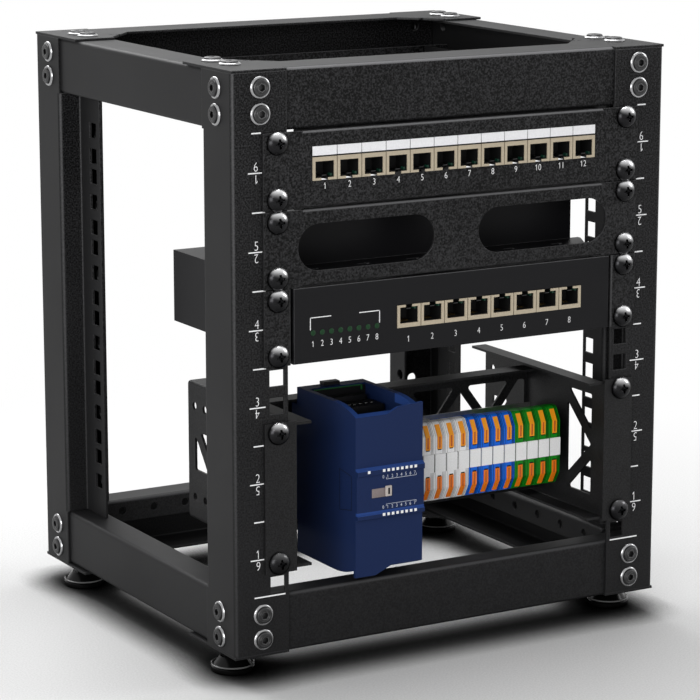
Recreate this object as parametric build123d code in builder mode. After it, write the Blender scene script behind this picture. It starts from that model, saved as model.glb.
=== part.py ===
from build123d import *
import os

# Open-frame desktop rack, six units high, for ten inch equipment, with the equipment it carries.
# Millimetres, +Z up, the front faces -Y. The origin is on the floor, under the middle of the frame.

# Standard sizes of ten inch equipment
unit = 44.45
units = 6
panel_width = 254.0
panel_gap = 0.8
mount_inset = 8.74
opening_inset = 15.875
hole_offsets = (6.35, 22.225, 38.1)
square_hole = 9.5
mount_spacing = panel_width - 2 * mount_inset
opening_width = panel_width - 2 * opening_inset

# Frame
frame_width = 292.0
frame_depth = 260.0
sheet = 1.5
bend_radius = 2.5
beam_height = 35.1
bay_clearance = 0.2
front_side_wall = 35.3
front_inner_flange = 21.0
front_inner_hole_inset = 6.2
rear_side_wall = 33.0
rear_inner_flange = 26.6
rear_inner_hole_inset = 9.4
return_lip = 14.3
post_end_gap = 0.3
rear_lip = 21.0
rear_lip_hole_inset = 15.0
rear_hole_radius = 3.5
rear_lip_hole_rise = 7.0

# Beams: the outer flange closes the frame, the inner flange faces the equipment
side_outer_flange = 25.0
cross_outer_flange = 29.5
side_inner_flange = 20.4
top_inner_flange = 21.0
bottom_inner_flange = 16.5
beam_lip = 14.5
lip_hole_radius = 2.6
lip_hole_rise = 7.2
cross_hole_pitch = 22.8
cross_holes = 10
side_hole_pitch = 26.2
side_hole_first = 43.2
side_holes = 7
ear_length = 58.0
ear_chamfer = 23.5
ear_chamfer_across = 21.5
ear_relief = 4.0
ear_slot_length = 3.4
ear_slot_height = 1.8
ear_slot_pitch = 4.4
ear_slot_from_side = 33.9
ear_slot_from_face = 43.0
corner_gap = 0.2
frame_screw_radius = 3.0
frame_screw_pitch = 15.0
frame_screw_inset = 9.5
front_screw_from_side = 17.1
side_screw_from_face = 16.5

# Levelling feet
foot_height = 15.0
foot_radius = 12.7
foot_rim = 4.5
foot_cone_height = 9.0
foot_neck_radius = 7.5
foot_stem_radius = 4.0
foot_edge = 0.8
foot_from_side = 13.0
foot_from_face = 28.5

# Equipment
panel_sheet = 1.5
panel_fold_inset = 25.0
panel_fold_depth = 9.0
panel_fold_radius = 1.9
panel_ear_slot = 9.0
jack_pitch = 16.0
jack_width = 15.4
jack_height = 13.2
jack_depth = 22.0
jack_proud = 0.6
jack_clearance = 0.2
port_width = 12.2
port_height = 9.4
port_shift = 0.55
port_depth = 13.0
latch_width = 4.6
latch_depth = 6.0
label_height = 5.2
label_gap = 0.9
label_proud = 0.6
slot_length = 90.0
slot_height = 26.8
slot_spacing = 120.1
tray_height = 36.0
tray_front_inset = 25.0
tray_wide_inset = 17.5
tray_narrow = 16.0
tray_chamfer = 31.0
tray_wall = 34.0
tray_wall_inset = 24.1
tie_slot_pitch = 33.5
tie_slot_length = 9.0
tie_slot_width = 4.0
tie_slot_from_face = 19.0
tie_slots = 6
switch_inset = 19.0
switch_depth = 150.0
switch_ports = 8
switch_port_centre = 23.7
switch_port_drop = 0.8
lamp_pitch = 6.0
lamp_centre = -74.6
lamp_radius = 1.1
lamp_drop = 4.6
lamp_proud = 0.3
patch_ports = 12
switch_ear_depth = 40.0
switch_ear_round = 0.1
switch_edge_round = 0.5

# Bracket for the mounting rail: two arms on front ears, and a back plate between them
bracket_bottom = 13.1
bracket_height = 88.1
bracket_slot_inset = 5.95
arm_height = 85.4
arm_inset = 19.0
arm_depth = 131.0
arm_flange = 12.0
arm_bend = 2.0
arm_hole_back = 8.2
arm_hole_pitch = 13.2
arm_hole_rise = 28.4
arm_hole_radius = 2.5
rail_plane = 83.0
plate_flange = 13.5
plate_height = 76.7
truss_corner = 1.2
plate_corner = 1.5

# Cut-outs of the left arm: distance from the front face, and height above the middle
gap_shift = 1.3
bay_near = 11.8
bay_far = 37.1
bay_high_rise = 31.6
bay_high_foot = 8.4
tall_near = 12.0
tall_far = 37.8
tall_rise = 23.3
brace_near = 94.5
brace_middle = 104.9
brace_far = 122.4
brace_rise = 13.0
brace_foot = 11.2
brace_gap = 6.9

# Zigzag of the back plate
zigzag_pitch_share = 0.3756
zigzag_first_share = 0.911
zigzag_base_share = 0.775
zigzag_count = 5
zigzag_rise = 29.4
zigzag_drop = 20.5
zigzag_step = 3.2
zigzag_end = 2.8
zigzag_side = 2.1

# Mounting rail
rail_drop = 1.75
rail_height = 35.0
rail_depth = 7.5
rail_crown = 25.0
rail_sheet = 1.0
rail_end_gap = 2.5
rail_corner = 1.8

# Control module: a housing with a curved top, a band between two ribs and an open terminal pocket
module_width = 45.3
module_left_gap = 60.2
module_top = 102.9
module_bottom = 1.6
module_front_drop = 5.3
module_curve_depth = 25.0
module_tab_height = 4.8
module_tab_share = 0.46
module_tab_slant = 0.17
module_low_tab_share = 0.54
module_low_tab_slant = 0.24
module_tab_sheet = 2.2
module_tab_slope = 0.72
module_clearance = 0.3
band_proud = 1.7
rib_proud = 2.7
rib_round = 0.6
high_rib = (62.8, 67.5)
low_rib = (36.8, 41.0)
rib_slope = 1.5
pocket_wall = 3.4
pocket_back = 9.0
pocket_depth = 13.0
clip_width = 11.0
clip_height = 2.0
clip_depth = 5.0
clip_from_left = 21.0

# Terminal blocks with levers and tags
block_width = 8.28
block_height = 48.9
block_front = 30.0
block_depth = 12.5
block_chamfer_depth = 4.6
block_chamfer_height = 8.2
block_round = 3.0
block_gap = 0.1
block_foot_height = 30.0
blocks_per_colour = 4
blocks_left_gap = 123.5
lever_left = 2.65
lever_width = 3.1
lever_sunk = 1.0
lever_proud = 0.4
lever_clear = 3.0
lever_reach = 0.82
groove_lefts = (6.35, 7.2)
groove_width = 0.4
groove_depth = 0.5
groove_clear = 1.6
tag_height = 11.1
tag_width = 7.3
tag_left = 0.9
tag_proud = 0.8

# Derived places
half_width = frame_width / 2
half_depth = frame_depth / 2
half_panel = panel_width / 2
front = -half_depth
unit_zero = foot_height + beam_height + bay_clearance
bay_height = units * unit
bay_low = unit_zero - bay_clearance
bay_high = unit_zero + bay_height + bay_clearance
frame_low = foot_height
frame_high = bay_high + beam_height
middle_height = (frame_low + frame_high) / 2
web_face = half_width - sheet
front_web = front + sheet
hole_heights = [unit_zero + u * unit + offset for u in range(units) for offset in hole_offsets]


def publish(part, name):
    """Give a finished piece its name and write it out."""
    part.label = name
    export_step(part, f"parts/{name}.step")


os.makedirs("parts", exist_ok=True)


# Corner posts: front flange, side wall, return lip and inner flange, folded from one sheet
post_low = frame_low + sheet
post_high = frame_high - sheet
inner_low = bay_low + post_end_gap
inner_high = bay_high - post_end_gap
lip_corner = -half_width + return_lip
flange_edge = -opening_width / 2
screw_heights = [
    frame_high - frame_screw_inset,
    frame_high - frame_screw_inset - frame_screw_pitch,
    frame_low + frame_screw_inset,
    frame_low + frame_screw_inset + frame_screw_pitch,
]


def corner_post(at_rear):
    """A post for the left front corner. The kind for the rear has a lip and round holes."""
    wall_back = front + (rear_side_wall if at_rear else front_side_wall)
    inner_edge = wall_back + (rear_inner_flange if at_rear else front_inner_flange)
    inner_holes = inner_edge - (rear_inner_hole_inset if at_rear else front_inner_hole_inset)
    fold = [
        (flange_edge, front),
        (-half_width, front),
        (-half_width, wall_back),
        (lip_corner, wall_back),
        (lip_corner, inner_edge),
    ]
    bends = [bend_radius, bend_radius, bend_radius - sheet]
    if at_rear:
        fold.insert(0, (flange_edge, front + rear_lip))
        bends.insert(0, bend_radius)
    with BuildPart() as post:
        with BuildSketch(Plane.XY.offset(inner_low)):
            with BuildLine():
                FilletPolyline(*fold, radius=bends)
                offset(amount=sheet, side=Side.RIGHT)
            make_face()
        extrude(amount=inner_high - inner_low)
        for low, high in ((post_low, inner_low), (inner_high, post_high)):
            with BuildSketch(Plane.XY.offset(low)):
                with BuildLine():
                    FilletPolyline(
                        (flange_edge, front),
                        (-half_width, front),
                        (-half_width, wall_back),
                        radius=bend_radius,
                    )
                    offset(amount=sheet, side=Side.RIGHT)
                make_face()
            extrude(amount=high - low)
        if at_rear:
            first_holes = [unit_zero + u * unit + hole_offsets[0] for u in range(units)]
            with BuildSketch(Plane.XZ.offset(half_depth)):
                with Locations(*[(-half_width + front_screw_from_side, z) for z in first_holes]):
                    Circle(rear_hole_radius)
            extrude(amount=-2 * sheet, mode=Mode.SUBTRACT)
            with BuildSketch(Plane.YZ.offset(flange_edge - 2 * sheet)):
                with Locations(*[(front + rear_lip_hole_inset, z + rear_lip_hole_rise) for z in first_holes]):
                    Circle(rear_hole_radius)
            extrude(amount=3 * sheet, mode=Mode.SUBTRACT)
        else:
            with BuildSketch(Plane.XZ.offset(half_depth)):
                with Locations(*[(-mount_spacing / 2, z) for z in hole_heights]):
                    Rectangle(square_hole, square_hole)
            extrude(amount=-2 * sheet, mode=Mode.SUBTRACT)
        with BuildSketch(Plane.YZ.offset(lip_corner - sheet)):
            with Locations(*[(inner_holes, z) for z in hole_heights[1:-1]]):
                Rectangle(square_hole, square_hole)
        extrude(amount=3 * sheet, mode=Mode.SUBTRACT)
        with BuildSketch(Plane.XZ.offset(half_depth)):
            with Locations(*[(-half_width + front_screw_from_side, z) for z in screw_heights]):
                Circle(frame_screw_radius)
        extrude(amount=-2 * sheet, mode=Mode.SUBTRACT)
        with BuildSketch(Plane.YZ.offset(-half_width)):
            with Locations(*[(front + side_screw_from_face, z) for z in screw_heights]):
                Circle(frame_screw_radius)
        extrude(amount=2 * sheet, mode=Mode.SUBTRACT)
    return post.part


with BuildPart() as post_front_left:
    add(corner_post(False))
with BuildPart() as post_front_right:
    mirror(post_front_left.part, about=Plane.YZ)
with BuildPart() as post_rear_left:
    mirror(corner_post(True), about=Plane.XZ)
with BuildPart() as post_rear_right:
    mirror(post_rear_left.part, about=Plane.YZ)

publish(post_front_left.part, "post_front_left")
publish(post_front_right.part, "post_front_right")
publish(post_rear_left.part, "post_rear_left")
publish(post_rear_right.part, "post_rear_right")

# Beams: channel with a wide outer flange, and an inner flange that ends in a lip with round holes
cross_half = half_width - 2 * sheet - corner_gap
relief_half = opening_width / 2 - 3 * corner_gap
ear_inner = web_face - side_outer_flange
mid_plane = Plane.XY.offset(middle_height)
lip_hole_level = bay_high + lip_hole_rise


def cross_beam(flange):
    """The beam at the top of the front, with ears that close the corners above the posts."""
    lip_face = front_web + flange
    with BuildPart() as beam:
        with BuildSketch(Plane.YZ.offset(-cross_half)):
            with BuildLine():
                FilletPolyline(
                    (front_web, frame_high - sheet),
                    (front_web, bay_high),
                    (lip_face, bay_high),
                    (lip_face, bay_high + beam_lip),
                    radius=bend_radius,
                )
                offset(amount=sheet, side=Side.LEFT)
            make_face()
        extrude(amount=2 * cross_half)
        with BuildSketch(Plane.YZ.offset(-relief_half)):
            with BuildLine():
                FilletPolyline(
                    (front_web + cross_outer_flange, frame_high),
                    (front_web, frame_high),
                    (front_web, frame_high - beam_height / 2),
                    radius=bend_radius,
                )
                offset(amount=sheet, side=Side.LEFT)
            make_face()
        extrude(amount=2 * relief_half)
        with BuildSketch(Plane.XY.offset(frame_high - sheet)):
            for side in (-1, 1):
                with BuildLine():
                    Polyline(
                        (side * half_width, front),
                        (side * opening_width / 2, front),
                        (side * opening_width / 2, front_web + ear_relief),
                        (side * (ear_inner - ear_chamfer_across), front_web + ear_relief),
                        (side * (ear_inner - ear_chamfer_across), front_web + cross_outer_flange),
                        (side * ear_inner, front_web + cross_outer_flange + ear_chamfer),
                        (side * ear_inner, front + ear_length),
                        (side * half_width, front + ear_length),
                        close=True,
                    )
                make_face()
                for step in (-0.5, 0.5):
                    x = half_width - ear_slot_from_side + step * ear_slot_pitch
                    with Locations((side * x, front + ear_slot_from_face)):
                        SlotOverall(ear_slot_length, ear_slot_height, mode=Mode.SUBTRACT)
        extrude(amount=sheet)
        with BuildSketch(Plane.XZ.offset(-lip_face + 2 * sheet)):
            with Locations((0, lip_hole_level)):
                with GridLocations(cross_hole_pitch, 1, cross_holes, 1):
                    Circle(lip_hole_radius)
        extrude(amount=4 * sheet, both=True, mode=Mode.SUBTRACT)
        with BuildSketch(Plane.XZ.offset(half_depth)):
            for side in (-1, 1):
                with Locations(*[(side * (half_width - front_screw_from_side), z) for z in screw_heights[:2]]):
                    Circle(frame_screw_radius)
        extrude(amount=-3 * sheet, mode=Mode.SUBTRACT)
    return beam.part


with BuildPart() as top_beam_front:
    add(cross_beam(top_inner_flange))
with BuildPart() as top_beam_rear:
    mirror(top_beam_front.part, about=Plane.XZ)
with BuildPart() as bottom_beam_front:
    mirror(cross_beam(bottom_inner_flange), about=mid_plane)
with BuildPart() as bottom_beam_rear:
    mirror(top_beam_rear.part, about=mid_plane)

side_lip_face = -web_face + side_inner_flange
side_half = half_depth - 2 * sheet - corner_gap
side_flange_half = half_depth - 2 * sheet - top_inner_flange - corner_gap
side_high = frame_high - sheet
side_hole_places = [front + side_hole_first + i * side_hole_pitch for i in range(side_holes)]

with BuildPart() as top_beam_left:
    with BuildSketch(Plane.XZ.offset(-side_flange_half)):
        with BuildLine():
            FilletPolyline(
                (-ear_inner, side_high),
                (-web_face, side_high),
                (-web_face, bay_high),
                (side_lip_face, bay_high),
                (side_lip_face, bay_high + beam_lip),
                radius=bend_radius,
            )
            offset(amount=sheet, side=Side.LEFT)
        make_face()
    extrude(amount=2 * side_flange_half)
    for start in (side_half, -side_flange_half):
        with BuildSketch(Plane.XZ.offset(-start)):
            with BuildLine():
                FilletPolyline(
                    (-ear_inner, side_high),
                    (-web_face, side_high),
                    (-web_face, bay_high + bend_radius),
                    radius=bend_radius,
                )
                offset(amount=sheet, side=Side.LEFT)
            make_face()
        extrude(amount=side_half - side_flange_half)
    with BuildSketch(Plane.YZ.offset(side_lip_face - 2 * sheet)):
        with Locations(*[(y, lip_hole_level) for y in side_hole_places]):
            Circle(lip_hole_radius)
    extrude(amount=4 * sheet, mode=Mode.SUBTRACT)
    with BuildSketch(Plane.YZ.offset(-half_width)):
        for end in (-1, 1):
            with Locations(*[(end * (half_depth - side_screw_from_face), z) for z in screw_heights[:2]]):
                Circle(frame_screw_radius)
    extrude(amount=3 * sheet, mode=Mode.SUBTRACT)

with BuildPart() as top_beam_right:
    mirror(top_beam_left.part, about=Plane.YZ)
with BuildPart() as bottom_beam_left:
    mirror(top_beam_left.part, about=mid_plane)
with BuildPart() as bottom_beam_right:
    mirror(top_beam_right.part, about=mid_plane)

publish(top_beam_front.part, "top_beam_front")
publish(top_beam_rear.part, "top_beam_rear")
publish(top_beam_left.part, "top_beam_left")
publish(top_beam_right.part, "top_beam_right")
publish(bottom_beam_front.part, "bottom_beam_front")
publish(bottom_beam_rear.part, "bottom_beam_rear")
publish(bottom_beam_left.part, "bottom_beam_left")
publish(bottom_beam_right.part, "bottom_beam_right")


# Levelling feet: a disc that rises to a cone, on a threaded stem
def foot(x, y):
    with BuildPart() as piece:
        with BuildSketch(Plane.XZ):
            with BuildLine():
                Polyline(
                    (0, 0),
                    (foot_radius - foot_edge, 0),
                    (foot_radius, foot_edge),
                    (foot_radius, foot_rim - 2 * foot_edge),
                    (foot_radius - 2 * foot_edge, foot_rim),
                    (foot_neck_radius, foot_cone_height),
                    (foot_stem_radius, foot_cone_height),
                    (foot_stem_radius, foot_height),
                    (0, foot_height),
                    close=True,
                )
            make_face()
        revolve(axis=Axis.Z)
    return Pos(x, y, 0) * piece.part


foot_x = half_width - foot_from_side
foot_y = half_depth - foot_from_face
for end, y in (("front", -foot_y), ("rear", foot_y)):
    for side, x in (("left", -foot_x), ("right", foot_x)):
        publish(foot(x, y), f"foot_{end}_{side}")


# Rack panels: flat ears on the posts, edges folded back between them
def panel_blank(first_unit):
    low = unit_zero + first_unit * unit + panel_gap / 2
    high = low + unit - panel_gap
    with BuildPart() as blank:
        with BuildSketch(Plane.YZ.offset(panel_fold_inset - half_panel)):
            with BuildLine():
                FilletPolyline(
                    (front + panel_fold_depth, high),
                    (front - panel_sheet, high),
                    (front - panel_sheet, low),
                    (front + panel_fold_depth, low),
                    radius=panel_fold_radius,
                )
                offset(amount=panel_sheet, side=Side.LEFT)
            make_face()
        extrude(amount=panel_width - 2 * panel_fold_inset)
        with BuildSketch(Plane.XZ.offset(half_depth)):
            for side in (-1, 1):
                with Locations((side * (half_panel - panel_fold_inset / 2), (low + high) / 2)):
                    Rectangle(panel_fold_inset, high - low)
        extrude(amount=panel_sheet)
        with BuildSketch(Plane.XZ.offset(half_depth + panel_sheet)):
            for side in (-1, 1):
                for offset_up in (hole_offsets[0], hole_offsets[2]):
                    with Locations((side * mount_spacing / 2, unit_zero + first_unit * unit + offset_up)):
                        SlotOverall(panel_ear_slot, 2 * frame_screw_radius)
        extrude(amount=-2 * panel_sheet, mode=Mode.SUBTRACT)
    return blank.part


def port_xs(count, centre):
    return [centre + (i - (count - 1) / 2) * jack_pitch for i in range(count)]


def jack_block(count, centre, level, latch_side):
    """A row of sockets, each a block with its mouth to the front and the latch notch to one side."""
    face = half_depth + panel_sheet + jack_proud
    with BuildPart() as row:
        with BuildSketch(Plane.XZ.offset(face)):
            with Locations(*[(x, level) for x in port_xs(count, centre)]):
                Rectangle(jack_width, jack_height)
        extrude(amount=-jack_depth)
        with BuildSketch(Plane.XZ.offset(face)):
            with Locations(*[(x, level + latch_side * port_shift) for x in port_xs(count, centre)]):
                Rectangle(port_width, port_height)
        extrude(amount=-port_depth, mode=Mode.SUBTRACT)
        with BuildSketch(Plane.XZ.offset(face)):
            with Locations(*[(x, level + latch_side * jack_height / 2) for x in port_xs(count, centre)]):
                Rectangle(latch_width, jack_height - port_height)
        extrude(amount=-latch_depth, mode=Mode.SUBTRACT)
    return row.part


patch_level = unit_zero + (units - 0.5) * unit
with BuildPart() as patch_panel:
    add(panel_blank(units - 1))
    with BuildSketch(Plane.XZ.offset(half_depth + panel_sheet)):
        with Locations(*[(x, patch_level) for x in port_xs(patch_ports, 0)]):
            Rectangle(jack_width + jack_clearance, jack_height + jack_clearance)
    extrude(amount=-2 * panel_sheet, mode=Mode.SUBTRACT)
publish(patch_panel.part, "patch_panel")
publish(jack_block(patch_ports, 0, patch_level, -1), "patch_jacks")

label_level = patch_level + jack_height / 2 + label_gap + label_height / 2
with BuildPart() as patch_labels:
    with BuildSketch(Plane.XZ.offset(half_depth + panel_sheet)):
        with Locations(*[(x, label_level) for x in port_xs(patch_ports, 0)]):
            Rectangle(jack_width, label_height)
    extrude(amount=label_proud)
publish(patch_labels.part, "patch_labels")

slot_level = unit_zero + (units - 1.5) * unit
with BuildPart() as slot_panel:
    add(panel_blank(units - 2))
    with BuildSketch(Plane.XZ.offset(half_depth + panel_sheet)):
        with Locations((0, slot_level)):
            with GridLocations(slot_spacing, 1, 2, 1):
                SlotOverall(slot_length, slot_height)
    extrude(amount=-2 * panel_sheet, mode=Mode.SUBTRACT)
publish(slot_panel.part, "slot_panel")

# Cable tray behind the slots: two shelves joined by a rear wall
tray_back = front + tray_wall
with BuildPart() as cable_tray:
    for level in (slot_level - tray_height / 2, slot_level + tray_height / 2 - sheet):
        with BuildSketch(Plane.XY.offset(level)):
            with BuildLine():
                Polyline(
                    (half_panel - tray_front_inset, front),
                    (half_panel - tray_front_inset, front + tray_narrow),
                    (half_panel - tray_wide_inset, front + tray_chamfer),
                    (half_panel - tray_wide_inset, tray_back),
                    (-half_panel + tray_wide_inset, tray_back),
                    (-half_panel + tray_wide_inset, front + tray_chamfer),
                    (-half_panel + tray_front_inset, front + tray_narrow),
                    (-half_panel + tray_front_inset, front),
                    close=True,
                )
            make_face()
            with Locations((0, front + tie_slot_from_face)):
                with GridLocations(tie_slot_pitch, 1, tie_slots, 1):
                    SlotOverall(tie_slot_length, tie_slot_width, mode=Mode.SUBTRACT)
        extrude(amount=sheet)
    with BuildSketch(Plane.XY.offset(slot_level - tray_height / 2)):
        with Locations((0, tray_back - sheet / 2)):
            Rectangle(panel_width - 2 * tray_wall_inset, sheet)
    extrude(amount=tray_height)
publish(cable_tray.part, "cable_tray")

# Network switch: a closed housing with a flat front, held by two bent ears
switch_width = panel_width - 2 * switch_inset
switch_low = unit_zero + 3 * unit + panel_gap / 2
switch_high = switch_low + unit - panel_gap
switch_level = (switch_low + switch_high) / 2
switch_port_level = switch_level - switch_port_drop
switch_face = front - panel_sheet
with BuildPart() as switch_housing:
    with BuildSketch(Plane.XZ.offset(-switch_face)):
        with Locations((0, switch_level)):
            Rectangle(switch_width, switch_high - switch_low)
    extrude(amount=-switch_depth)
    fillet(switch_housing.edges().group_by(Axis.Y)[0], radius=switch_edge_round)
    with BuildSketch(Plane.XZ.offset(-switch_face)):
        with Locations(*[(x, switch_port_level) for x in port_xs(switch_ports, switch_port_centre)]):
            Rectangle(jack_width + jack_clearance, jack_height + jack_clearance)
    extrude(amount=-jack_depth, mode=Mode.SUBTRACT)
publish(switch_housing.part, "switch_housing")
publish(jack_block(switch_ports, switch_port_centre, switch_port_level, 1), "switch_jacks")

with BuildPart() as switch_ears:
    for side in (-1, 1):
        with BuildSketch(Plane.XY.offset(switch_low)):
            with BuildLine():
                FilletPolyline(
                    (side * half_panel, front - panel_sheet),
                    (side * (switch_width / 2 + panel_sheet), front - panel_sheet),
                    (side * (switch_width / 2 + panel_sheet), front + switch_ear_depth),
                    radius=panel_sheet + switch_ear_round,
                )
                offset(amount=panel_sheet, side=Side.RIGHT if side > 0 else Side.LEFT)
            make_face()
        extrude(amount=switch_high - switch_low)
publish(switch_ears.part, "switch_ears")

lamp_level = switch_level - lamp_drop
with BuildPart() as switch_lamps:
    with BuildSketch(Plane.XZ.offset(-switch_face)):
        with Locations((lamp_centre, lamp_level)):
            with GridLocations(lamp_pitch, 1, switch_ports, 1):
                Circle(lamp_radius)
    extrude(amount=lamp_proud)
publish(switch_lamps.part, "switch_lamps")

# Rail bracket: arms with cut-outs that leave a truss, each with a front ear and folded flanges
bracket_low = unit_zero + bracket_bottom
bracket_high = bracket_low + bracket_height
bracket_level = (bracket_low + bracket_high) / 2
arm_face = half_panel - arm_inset
arm_low = bracket_level - arm_height / 2
arm_high = bracket_level + arm_height / 2
arm_back = front + arm_depth
plate_y = front + rail_plane
bracket_turn = Axis((0, 0, bracket_level), (0, 1, 0))


# Cut-outs of the left arm, each given by its corners
near_level = bracket_level - gap_shift
arm_gaps = [
    [
        (front + tall_far, near_level + tall_rise),
        (front + tall_far, near_level - tall_rise),
        (front + tall_near, near_level),
    ],
    [
        (front + brace_far, bracket_level + brace_foot),
        (front + brace_far, bracket_level - brace_foot),
        (front + brace_middle, bracket_level - brace_foot),
    ],
    [
        (front + brace_far - brace_gap, bracket_level + brace_rise),
        (front + brace_near, bracket_level + brace_rise),
        (front + brace_near, bracket_level - brace_rise),
    ],
]
for way in (-1, 1):
    arm_gaps.append(
        [
            (front + bay_far, near_level + way * bay_high_rise),
            (front + bay_near, near_level + way * bay_high_rise),
            (front + bay_near, near_level + way * bay_high_foot),
        ]
    )

with BuildPart() as din_arm_left:
    with BuildSketch(Plane.XZ.offset(half_depth)):
        with Locations((-(half_panel + arm_face - sheet) / 2, bracket_level)):
            Rectangle(half_panel - arm_face + sheet, bracket_height)
    extrude(amount=panel_sheet)
    with BuildSketch(Plane.XZ.offset(half_depth)):
        with BuildLine():
            FilletPolyline(
                (-arm_face + arm_flange, arm_high),
                (-arm_face, arm_high),
                (-arm_face, arm_low),
                (-arm_face + arm_flange, arm_low),
                radius=arm_bend,
            )
            offset(amount=sheet, side=Side.LEFT)
        make_face()
    extrude(amount=-arm_depth)
    with BuildSketch(Plane.YZ.offset(-arm_face - sheet)):
        for corners in arm_gaps:
            with BuildLine():
                FilletPolyline(*corners, radius=truss_corner, close=True)
            make_face()
        for y in (arm_back - arm_hole_back, arm_back - arm_hole_back - arm_hole_pitch):
            with Locations((y, bracket_level - arm_hole_rise), (y, bracket_level + arm_hole_rise)):
                Circle(arm_hole_radius)
    extrude(amount=3 * sheet, mode=Mode.SUBTRACT)
    with BuildSketch(Plane.XZ.offset(half_depth + panel_sheet)):
        for level in (bracket_high - bracket_slot_inset, bracket_low + bracket_slot_inset):
            with Locations((-mount_spacing / 2, level)):
                SlotOverall(panel_ear_slot, 2 * frame_screw_radius)
    extrude(amount=-2 * panel_sheet, mode=Mode.SUBTRACT)
with BuildPart() as din_arm_right:
    add(din_arm_left.part.rotate(bracket_turn, 180))
publish(din_arm_left.part, "din_arm_left")
publish(din_arm_right.part, "din_arm_right")

plate_half = arm_face - sheet
plate_high = bracket_level + plate_height / 2
plate_low = bracket_level - plate_height / 2

# Cut-outs of the back plate: a zigzag above the rail, and its mirror image below
zigzag_pitch = zigzag_pitch_share * plate_half
zigzag_first = zigzag_first_share * plate_half
zigzag_base = zigzag_base_share * zigzag_pitch
plate_gaps = []
for way in (-1, 1):
    base = bracket_level + way * zigzag_rise
    tip = base - way * zigzag_drop
    for i in range(zigzag_count):
        x = zigzag_first - (i + 0.5) * zigzag_pitch
        plate_gaps.append([(x - zigzag_base / 2, base), (x + zigzag_base / 2, base), (x, tip)])
    low_base = tip - way * zigzag_step
    for i in range(1, zigzag_count):
        x = zigzag_first - i * zigzag_pitch
        plate_gaps.append(
            [(x - zigzag_base / 2, low_base), (x + zigzag_base / 2, low_base), (x, base - way * zigzag_step)]
        )
    plate_gaps.append(
        [
            (zigzag_first + zigzag_end, base),
            (plate_half - zigzag_side, base),
            (plate_half - zigzag_side, low_base),
            (zigzag_first - zigzag_base / 2, low_base),
        ]
    )

with BuildPart() as din_back_plate:
    with BuildSketch(Plane.YZ.offset(-plate_half)):
        with BuildLine():
            FilletPolyline(
                (plate_y - plate_flange, plate_high),
                (plate_y + sheet, plate_high),
                (plate_y + sheet, plate_low),
                (plate_y - plate_flange, plate_low),
                radius=bend_radius,
            )
            offset(amount=sheet, side=Side.RIGHT)
        make_face()
    extrude(amount=2 * plate_half)
    with BuildSketch(Plane.XZ.offset(-plate_y + sheet)):
        for corners in plate_gaps:
            with BuildLine():
                FilletPolyline(*corners, radius=plate_corner, close=True)
            make_face()
    extrude(amount=-3 * sheet, mode=Mode.SUBTRACT)
publish(din_back_plate.part, "din_back_plate")

rail_level = bracket_level - rail_drop
rail_length = 2 * (plate_half - rail_end_gap)
rail_front = plate_y - rail_depth + rail_sheet
rail_back = plate_y - rail_depth
with BuildPart() as din_rail:
    with BuildSketch(Plane.YZ.offset(-rail_length / 2)):
        with BuildLine():
            FilletPolyline(
                (rail_front, rail_level + rail_height / 2),
                (rail_front, rail_level + rail_crown / 2),
                (plate_y, rail_level + rail_crown / 2),
                (plate_y, rail_level - rail_crown / 2),
                (rail_front, rail_level - rail_crown / 2),
                (rail_front, rail_level - rail_height / 2),
                radius=rail_corner,
            )
            offset(amount=rail_sheet, side=Side.RIGHT)
        make_face()
    extrude(amount=rail_length)
publish(din_rail.part, "din_rail")

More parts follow.
